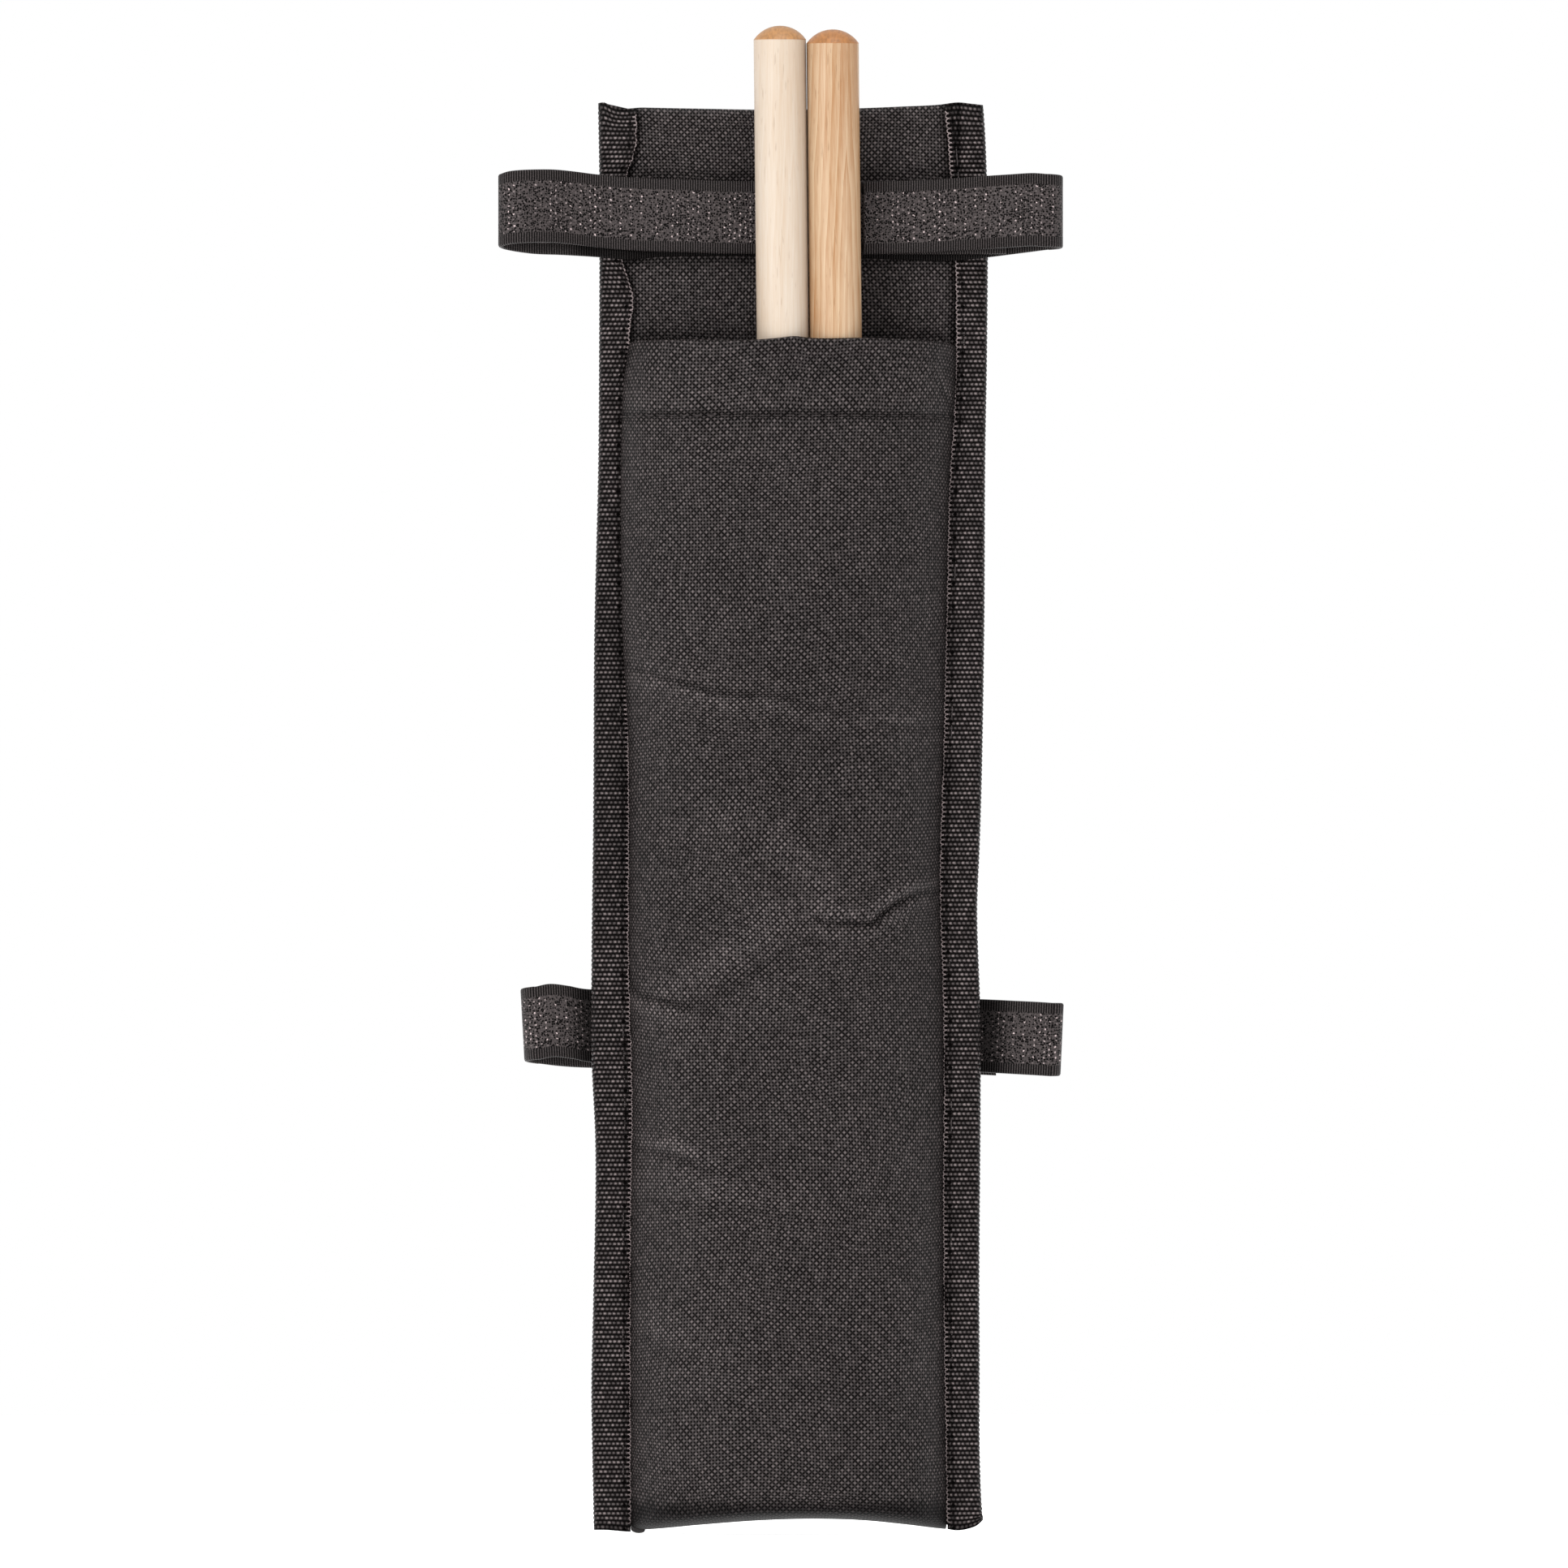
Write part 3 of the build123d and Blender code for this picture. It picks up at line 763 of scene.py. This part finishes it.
def binding_stitching(side):
    """The line of stitches along the webbing's inner edge."""
    inner = LEFT_INNER if side < 0 else RIGHT_INNER
    first, last = math.ceil((BOTTOM + 4 * MM) / STITCH_PITCH), int((TOP - 8 * MM) / STITCH_PITCH)
    paths = []
    for k in range(first, last):
        z = k * STITCH_PITCH
        ends = [(float(inner(q)) + side * STITCH_INSET, BINDING_FRONT - 0.15 * MM, q)
                for q in (z + 0.2 * MM, z + STITCH_PITCH - 0.2 * MM)]
        paths.append(stitch(*ends, (0, -1, 0)))
    name = "left_binding_thread" if side < 0 else "right_binding_thread"
    row = threads(name, paths, 0.17 * MM, THREAD)
    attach(row, "bag")
    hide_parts("left_binding_stitching" if side < 0 else "right_binding_stitching")


# ------------------------------------------------------------------ pocket

SEAM_Y = BINDING_FRONT + 0.6 * MM
POCKET_DEPTH = SEAM_Y - POCKET_LOW.y - 0.6 * MM
TURN_UNDER = BOTTOM + 10.5 * MM
LIP = 0.9 * MM
SEAM_GAP = 0.35 * MM
MOUTH_LINE = curve([
    (-46, -2.4), (-43, -0.9), (-37, -0.5), (-9, -0.45), (-2, 0.1), (1, 0.45), (5, 0.05), (21, 0.0),
    (33, -0.45), (40, -0.9), (44, -1.5), (46, -2.6)])

# Creases as lines across the pocket in millimetres, each with its depth, width and the bank beside it
CREASES = [
    ([(-45, -123.3), (-38, -125.2), (-31, -127.3), (-17, -131.2), (-5, -131.4), (3, -133.4), (9, -135.2),
      (16, -136.2)], 0.8, 1.1, -1.1),
    ([(40.5, -184.9), (35.5, -185.3), (32.2, -186.3), (27.1, -189.3), (22.4, -193.2), (17.5, -193.5),
      (10, -193.2), (7.4, -192.2)], 1.25, 1.0, 1.6),
    ([(6, -191.5), (-1, -184), (-9, -176), (-14, -171)], 0.35, 3.4, 0.9),
    ([(-44.5, -207), (-41.5, -212.5), (-36, -214.5), (-31, -215.6), (-27, -217.3)], 1.2, 1.2, -1.0),
    ([(-28, -217.8), (-20, -213.5), (-9.5, -206.6), (1.6, -199.5), (6, -198)], 0.75, 3.4, 1.1),
    ([(-42, -255), (-34, -256.4), (-27.3, -258.6), (-21, -261.5)], 0.7, 1.3, 1.0),
    ([(-38, -268), (-20, -271.5), (0.4, -272)], 0.35, 2.0, 0.8),
    ([(-43, -305), (-36, -309), (-28, -312)], 0.35, 2.6, 0.8),
    ([(41, -139.6), (36, -140.2), (29, -140.4), (24, -139.8)], 0.5, 1.4, 0.9),
    ([(38.2, -44), (40.3, -46), (42.6, -50), (44, -52.5)], 0.55, 0.8, 0.6),
]


def crease_relief(x, z):
    """How far the creases push the cloth in (negative) or out (positive), with painted shade in their
    valleys and painted light on their banks.
    """
    total, shade = np.zeros(x.shape), np.ones(x.shape)
    for line, depth, width, bank in CREASES:
        p = through([(a * MM, b * MM, 0) for a, b in line], 0.8 * MM)
        gap = np.hypot(x[..., None] - p[:, 0], z[..., None] - p[:, 1])
        closest = gap.argmin(axis=-1)
        gap = gap.min(axis=-1)
        above = np.sign(z - p[closest, 1]) * np.sign(bank)
        fade = np.sin(np.pi * np.clip((closest + 3) / (len(p) + 5), 0, 1)) ** 0.5
        w = width * MM
        swell = bell(gap - 2.2 * w, 1.6 * w) * np.where(above > 0, 1.0, 0.35) * abs(bank)
        total += fade * depth * MM * (swell - bell(gap, w))
        shade *= 1 - fade * min(0.65, depth * 0.55 / width**0.7) * bell(gap, 0.75 * w)
        shade *= 1 + 0.42 * fade * swell
    return total, shade


def pocket_shape(s, z):
    """The pocket's front at share s across, from the left seam to the right, and height z."""
    puff = smooth(z, -155 * MM, -110 * MM) * smooth(z, MOUTH + 6 * MM, MOUTH - 14 * MM)
    left, right = LEFT_INNER(z) + SEAM_GAP - 1.0 * MM * puff, RIGHT_INNER(z) - SEAM_GAP
    across = 0.55 * s + 0.45 * (0.5 - 0.5 * np.cos(np.pi * s))
    x = left + (right - left) * across
    rise = np.clip(1 - np.abs(2 * across - 1) ** 2.7, 0, 1) ** 0.6
    x = x - 0.7 * MM * puff * np.sin(np.pi * np.clip(rise / 0.75, 0, 1)) * (across < 0.5)
    return x, rise, puff


def hem_relief(z):
    """The hem's stitched groove with the cloth swelling beside it."""
    seam = z - (MOUTH - HEM)
    groove = -1.15 * bell(seam, 1.0 * MM)
    above = 0.60 * bell(seam - 3.4 * MM, 2.4 * MM)
    below = 0.35 * bell(seam + 3.0 * MM, 2.2 * MM)
    return (groove + above + below) * MM


def pocket_stations():
    """The pocket's rows: each one's height, how far in it lies, and its turn under the bag."""
    stations = [(MOUTH - d, 1.9 * MM, 0.0) for d in np.linspace(HEM * 0.9, LIP, 10)]
    stations += [(MOUTH - LIP + LIP * math.sin(a), LIP * (1 + math.cos(a)) + 0.1 * MM, 0.0)
                 for a in np.linspace(0, np.pi, 9)[1:-1]]
    stations += [(MOUTH - LIP + (TURN_UNDER - MOUTH + LIP) * t, 0.0, 0.0) for t in np.linspace(0, 1, 300)]
    return stations + [(TURN_UNDER, 0.0, t * np.pi / 2) for t in np.linspace(0, 1, 26)[1:]]


def pocket_shade(x, z, puff):
    """Painted shade in the hem's groove and beside the bindings, and painted light on the hem above its
    groove.
    """
    seam = z - MOUTH + HEM
    right_gap, left_gap = RIGHT_INNER(z) - x, x - LEFT_INNER(z)
    right = 0.70 * near(right_gap - SEAM_GAP, 0.6 * MM) + 0.16 * near(right_gap, 6 * MM)
    left = 0.65 * near(left_gap - SEAM_GAP, 0.4 * MM) + 0.08 * near(left_gap, 5 * MM)
    hem = (1 - 0.62 * bell(seam, 0.9 * MM)) * (1.08 + 0.13 * bell(seam - 5 * MM, 4 * MM))
    return hem * (1 - right) * (1 - (1 - puff) * left)


def pocket_panel():
    """The pocket's front: a folded hem at the mouth, creases, and a turn under the bag."""
    soft = noise_field(8, 44 * MM, seed=31)
    fine = noise_field(10, 17 * MM, seed=32)
    s = np.linspace(0, 1, 140)
    rows, shades = [], []
    for z, inset, turn in pocket_stations():
        heights = np.full(s.shape, z)
        x, rise, puff = pocket_shape(s, heights)
        edge = smooth(rise, 0.05, 0.55)
        creases, shade = crease_relief(x, heights)
        relief = (0.65 * MM * soft(x, heights) + 0.20 * MM * fine(x, heights)) * edge
        relief += creases * smooth(rise, 0.0, 0.25) + edge * hem_relief(heights)
        y = SEAM_Y - POCKET_DEPTH * rise - relief + inset * smooth(rise, 0.0, 0.2)
        if turn:
            heights = TURN_UNDER + (BOTTOM_LINE(x) - TURN_UNDER) * math.sin(turn) ** 0.7
            y = REAR - 1 * MM - (REAR - 1 * MM - y) * (1 - (1 - math.cos(turn)) ** 1.8)
            # Painted shade on the cloth turned under the bag, which faces down
            shade *= 1 - 0.72 * smooth(TURN_UNDER - heights, 0, 5 * MM)
        else:
            heights = heights + MOUTH_LINE(x) * smooth(heights, MOUTH - 26 * MM, MOUTH)
        rows.append(np.stack([x, y, heights], axis=1))
        shades.append(np.clip(shade * pocket_shade(x, z, puff), 0.06, 1.6))
    points = np.stack(rows)
    panel = sheet_object("pocket_front", points, OXFORD, shade=np.stack(shades))
    thick = panel.modifiers.new("cloth thickness", "SOLIDIFY")
    thick.thickness = CLOTH
    thick.offset = 0.0
    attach(panel, "bag")
    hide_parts("pocket_front_panel")
    return points


def pocket_stitching(points):
    """The stitches along the hem's groove, and those under the bag's bottom edge."""
    middle = points.shape[1] // 2
    row = points[np.argmin(abs(points[20:200, middle, 2] - (MOUTH - HEM))) + 20]
    along = lengths(row)
    paths = []
    for start in np.arange(3 * MM, along[-1] - 5 * MM, 3.6 * MM):
        ends = [np.array([np.interp(q, along, row[:, k]) for k in range(3)])
                for q in (start, start + 2.6 * MM)]
        tangent = ends[1] - ends[0]
        outwards = np.array([tangent[1], -tangent[0], 0]) / np.linalg.norm(tangent[:2])
        paths.append(stitch(*[e + outwards * 0.35 * MM for e in ends], outwards))
    hem = threads("pocket_hem_thread", paths, 0.19 * MM, THREAD)
    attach(hem, "bag")
    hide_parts("pocket_hem_stitching")
    under = []
    for x in np.arange(-41, 38, 4.0) * MM:
        ends = [(q, REAR - 2.2 * MM, float(BOTTOM_LINE(q)) + 0.15 * MM) for q in (x, x + 2.8 * MM)]
        under.append(stitch(*ends, (0, 0, -1)))
    seam = threads("bottom_seam_thread", under, 0.19 * MM, THREAD)
    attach(seam, "bag")
    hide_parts("bottom_seam_stitching")


# ------------------------------------------------------------------ straps


class Fold:
    """Where a strap turns back, read from its three hinges, which lie 60 degrees apart round it."""

    def __init__(self, prefix, side, turn):
        places = [JOINTS[f"{prefix}_hinge_{k}"]["pos_m"] for k in (1, 2, 3)]
        self.side, self.turn = side, turn
        outside = 2 * abs(places[1][0] - places[0][0])
        self.centre = np.array([places[1][0] - side * outside, places[1][1]])
        self.radius = outside - 0.7 * MM

    def points(self, start, end, z_start, z_end, count=24):
        a = np.radians(np.linspace(start, end, count))
        x = self.centre[0] + self.side * self.radius * np.cos(a)
        y = self.centre[1] - self.turn * self.radius * np.sin(a)
        return np.stack([x, y, np.linspace(z_start, z_end, count)], axis=1)


def tape_mesh(name, path, offset, lean=0.0):
    """Tape on its edge along a path; offset is the tape's length before it, lean tips its end."""
    path = np.asarray(path)
    tangent = np.gradient(path, axis=0)
    tangent[:, 2] = 0
    tangent /= np.linalg.norm(tangent, axis=1)[:, None]
    normal = np.stack([tangent[:, 1], -tangent[:, 0], np.zeros(len(path))], axis=1)
    half, t = TAPE_WIDTH / 2, TAPE / 2
    rim = np.linspace(-np.pi / 2, np.pi / 2, 5)
    profile = [(v, t) for v in np.linspace(-half + t, half - t, 13)]
    profile += [(half - t + t * math.cos(a), t * -math.sin(a)) for a in rim[1:-1]]
    profile += [(v, -t) for v in np.linspace(half - t, -half + t, 13)]
    profile += [(-half + t - t * math.cos(a), t * math.sin(a)) for a in rim[1:-1]]
    profile = np.array(profile)
    tipped = lean * smooth(abs(path[:, 0]), 46 * MM, 60 * MM)
    points = path[:, None] + profile[None, :, 1:] * normal[:, None]
    points[:, :, 2] += profile[None, :, 0]
    points[:, :, 0] += profile[None, :, 0] * tipped[:, None]
    along = lengths(path) + offset
    uv = np.stack(np.broadcast_arrays(along[:, None], profile[None, :, 0]), axis=-1)
    # Painted shade: the tape darkens where it runs close behind or between the bag's layers
    between_layers = (path[:, 1] > -7.2 * MM) & (path[:, 1] < 2 * MM)
    dim = 0.72 * smooth(abs(path[:, 0]), 63 * MM, 55 * MM) * between_layers
    shade = (1 - dim)[:, None] * np.ones(len(profile))
    return sheet_object(name, points, TAPE_CLOTH, closed=True, caps=True, uv=uv, shade=shade)


def cut(path, at):
    """Splits a path at the given distances along it."""
    along = lengths(path)
    marks = [0, *at, along[-1]]
    pieces = []
    for a, b in zip(marks[:-1], marks[1:]):
        inner = along[(along > a + 1e-7) & (along < b - 1e-7)]
        q = np.concatenate([[a], inner, [b]])
        pieces.append(np.stack([np.interp(q, along, path[:, k]) for k in range(3)], axis=1))
    return pieces, marks


def blend_at_hinge(mesh, path, fold, k):
    """Works out which way the fold runs at its hinge number k, and bakes the piece's placement into its
    mesh.
    """
    a = np.radians({1: 60, 2: 0, 3: -60}[k])
    along = np.array([fold.side * math.sin(a), fold.turn * math.cos(a), 0])
    # the flap runs on a long way past its hinge, so only its part of the fold gives its direction
    end = path[-1] if k < 3 else fold.points(-90, -91, 0, 0, 2)[0]
    if np.dot(end[:2] - path[0][:2], along[:2]) < 0:
        along = -along
    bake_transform(mesh)


def hinged_tape(name, fold, start, finish, z_fold, node_prefix, fixed_node, lean=0.0):
    """One arm: from the bag to the fold, round it and back to the flap's tip, split at each hinge."""
    first = through([*start, *fold.points(90, 80, z_fold[0], z_fold[0], 2)])
    round_it = fold.points(80, -80, z_fold[0], z_fold[1], 60)
    last = through([*fold.points(-80, -90, z_fold[1], z_fold[1], 2), *finish])
    path = np.vstack([first[:-1], round_it, last[1:]])
    third = fold.radius * math.radians(60)
    fold_start = lengths(first)[-1] - fold.radius * math.radians(10)
    pieces, offsets = cut(path, [fold_start, fold_start + third, fold_start + 2 * third])
    names = [f"{name}_arm", f"{name}_bend_a", f"{name}_bend_b", f"{name}_flap"]
    nodes = [fixed_node, f"{node_prefix}_curl_a", f"{node_prefix}_curl_b", f"{node_prefix}_flap"]
    for k, (piece, offset) in enumerate(zip(pieces, offsets)):
        mesh = tape_mesh(names[k], piece, offset, lean)
        if k == 0:
            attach(mesh, "bag")
        else:
            blend_at_hinge(mesh, piece, fold, k)
        if nodes[k]:
            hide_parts(nodes[k])


def mm(*points):
    """Points given in millimetres, in metres."""
    return [np.array(p, float) * MM for p in points]


def upper_strap():
    """Closed loop across the front, with its flap on the right."""
    layer_a, layer_b, layer_c = -5.3, -8.3, -10.0
    over = -6.6
    left_loop = through(mm(
        (59, layer_b, -0.8), (44, layer_b, -0.9), (-10, layer_b, -0.85), (-28, layer_b, -0.4),
        (-42, layer_b, 0.1), (-52, layer_b - 0.4, 0.9), (-59, layer_b - 2.2, 1.75),
        (-65, layer_b - 4.2, 2.25), (-72, -14.0, 2.15), (-76.4, -13.2, 1.8), (-78.6, -11.6, 1.2),
        (-79.0, -9.6, 0.9), (-77.6, -7.4, 0.4), (-73.6, -6.2, -0.3), (-69, -6.0, -0.8),
        (-62, -6.2, -1.05), (-53, over, -1.6), (-46, over, -2.2), (-44, over, -2.4),
        (-38, layer_a - 0.3, -1.8), (-32, layer_a, -1.4), (0, layer_a, -1.2)))
    left = tape_mesh("upper_strap_left", left_loop, 0)
    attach(left, "bag")
    fold = Fold("upper_flap", 1, -1)
    start = mm((0, layer_a, -1.2), (32, layer_a, -2.4), (38, layer_a - 0.3, -2.65), (45, over, -2.6),
               (54, over, -1.7), (62, -6.3, -0.7))
    finish = mm((66, -13.7, 1.25), (60, -12.8, 0.9), (54, -11.0, 0.55), (48, -10.1, 0.15),
                (37, layer_c, -0.55), (20.1, layer_c, -1.0))
    hinged_tape("upper_strap_right", fold, start, finish, (0.35 * MM, 1.0 * MM),
                "upper_strap", "upper_strap")


def lower_strap():
    """Two arms behind the bag, each folded back on itself; the long one lies over the short one."""
    base, raised, over_both = 0.3, 0.95, 4.3
    left = Fold("lower_long_flap", -1, 1)
    right = Fold("lower_short_flap", 1, 1)
    z = LOWER_Z / MM
    start = mm((0, base, z), (-32, base, z + 0.5), (-44, raised, z + 0.9), (-55, raised, z + 1.3),
               (-60, 0.8, z + 2.2), (-65, 0.3, z + 2.75))
    finish = mm((-64, 7.0, z + 0.2), (-58, 5.8, z - 0.2), (-50, 4.4, z - 0.3), (-30, over_both, z),
                (0, over_both, z - 0.2), (30, over_both, z - 1.1), (56, over_both, z - 2.4))
    hinged_tape("lower_strap_left", left, start, finish,
                (LOWER_Z + 2.0 * MM, LOWER_Z + 0.8 * MM), "lower_strap_long", "lower_strap", lean=-0.055)
    start = mm((0, base, z), (32, base, z - 0.6), (44, raised, z - 1.1), (55, raised, z - 1.6),
               (66, 0.3, z - 2.2))
    finish = mm((67, 4.6, z - 2.2), (61, 2.8, z - 1.9), (50, 2.6, z - 1.4), (19.8, 2.6, z - 0.5))
    hinged_tape("lower_strap_right", right, start, finish,
                (LOWER_Z - 2.55 * MM, LOWER_Z - 2.5 * MM), "lower_strap_short", None, lean=0.045)


def box_stitching(name, node, y, outwards, z):
    """A rectangle of stitches with two diagonals, through the tape and the panel."""
    half_x, half_z = 12 * MM, 7 * MM
    corners = [np.array([a * half_x, y, z + b * half_z]) for a, b in ((-1, -1), (1, -1), (1, 1), (-1, 1))]
    lines = [(corners[k], corners[(k + 1) % 4]) for k in range(4)]
    lines += [(corners[0], corners[2]), (corners[1], corners[3])]
    paths = []
    for a, b in lines:
        length = np.linalg.norm(b - a)
        step = (b - a) / length
        for q in np.arange(0.4 * MM, length - 2.6 * MM, 3.2 * MM):
            paths.append(stitch(a + step * q, a + step * (q + 2.5 * MM), outwards))
    row = threads(name, paths, 0.2 * MM, THREAD)
    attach(row, "bag")
    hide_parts(node)


# ------------------------------------------------------------------ sticks


def finish_sticks():
    """The turned sticks keep their CAD shape and get their wood."""
    woods = {
        "left": wood_material("pale_wood", STICK_BOXES["left"], (0.465, 0.410, 0.350),
                              (0.385, 0.285, 0.200), 0.12, (0.36, 0.170, 0.055)),
        "right": wood_material("warm_wood", STICK_BOXES["right"], (0.480, 0.365, 0.245),
                               (0.27, 0.130, 0.050), 0.26, (0.34, 0.140, 0.040)),
    }
    for side, wood in woods.items():
        node = frame["nodes"][f"{side}_stick"]
        node.data.polygons.foreach_set("use_smooth", [True] * len(node.data.polygons))
        for slot in node.material_slots:
            slot.link = "OBJECT"
            slot.material = wood


# ------------------------------------------------------------------ studio


VIEW_MIDDLE = Vector((-1.6 * MM, 0, -155.6 * MM))


def white_room():
    """White surroundings and a bright floor under the bag."""
    scene = bpy.context.scene
    scene.view_settings.view_transform = "Standard"
    world = bpy.data.worlds.new("white room")
    scene.world = world
    world.use_nodes = True
    background = world.node_tree.nodes["Background"]
    background.inputs["Color"].default_value = (1, 1, 1, 1)
    background.inputs["Strength"].default_value = 1.0

    floor_z = BOTTOM - 0.9 * MM
    bpy.ops.mesh.primitive_circle_add(
        vertices=96, radius=1.5, fill_type="NGON", location=(0, 0, floor_z))
    floor = bpy.context.object
    floor.name = "floor"
    n = Nodes("floor")
    floor.data.materials.append(
        n.finish((0.9, 0.9, 0.9, 1), 0.9, Emission_Color=(1, 1, 1, 1), Emission_Strength=0.8))


def soft_lights():
    """A key light from the left, a fill from the right and a weak one from above."""
    for name, place, size, power in (
        ("key light", (-1.1, -1.3, 0.7), 0.7, 18.0),
        ("fill light", (1.4, -1.4, 0.3), 1.1, 6.0),
        ("top light", (0.1, -0.4, 1.3), 0.8, 7.0),
    ):
        light = bpy.data.lights.new(name, "AREA")
        light.shape = "DISK"
        light.size = size
        light.energy = power
        lamp = bpy.data.objects.new(name, light)
        lamp.location = VIEW_MIDDLE + Vector(place)
        lamp.rotation_mode = "QUATERNION"
        lamp.rotation_quaternion = (VIEW_MIDDLE - lamp.location).to_track_quat("-Z", "Y")
        bpy.context.scene.collection.objects.link(lamp)


def front_camera():
    """A long lens straight in front of the bag, as wide as view_width where the bag stands."""
    distance, view_width = 8.0, 0.4289
    data = bpy.data.cameras.new("camera")
    data.clip_end = 40
    data.sensor_width = 36
    data.lens = data.sensor_width * distance / view_width
    camera = bpy.data.objects.new("camera", data)
    camera.location = VIEW_MIDDLE + Vector((0, -distance, 0))
    camera.rotation_euler = (math.pi / 2, 0, 0)
    bpy.context.scene.collection.objects.link(camera)
    bpy.context.scene.camera = camera


# ------------------------------------------------------------------ build

back_panel()
for which in (-1, 1):
    binding(which)
    binding_loops(which)
    binding_stitching(which)
pocket_stitching(pocket_panel())
binding_nub()
upper_strap()
lower_strap()
box_stitching("upper_strap_thread", "upper_strap_stitching", -6.05 * MM, (0, -1, 0), UPPER_Z - 1 * MM)
box_stitching("lower_strap_thread", "lower_strap_stitching", 1.0 * MM, (0, 1, 0), LOWER_Z)
finish_sticks()
white_room()
soft_lights()
front_camera()
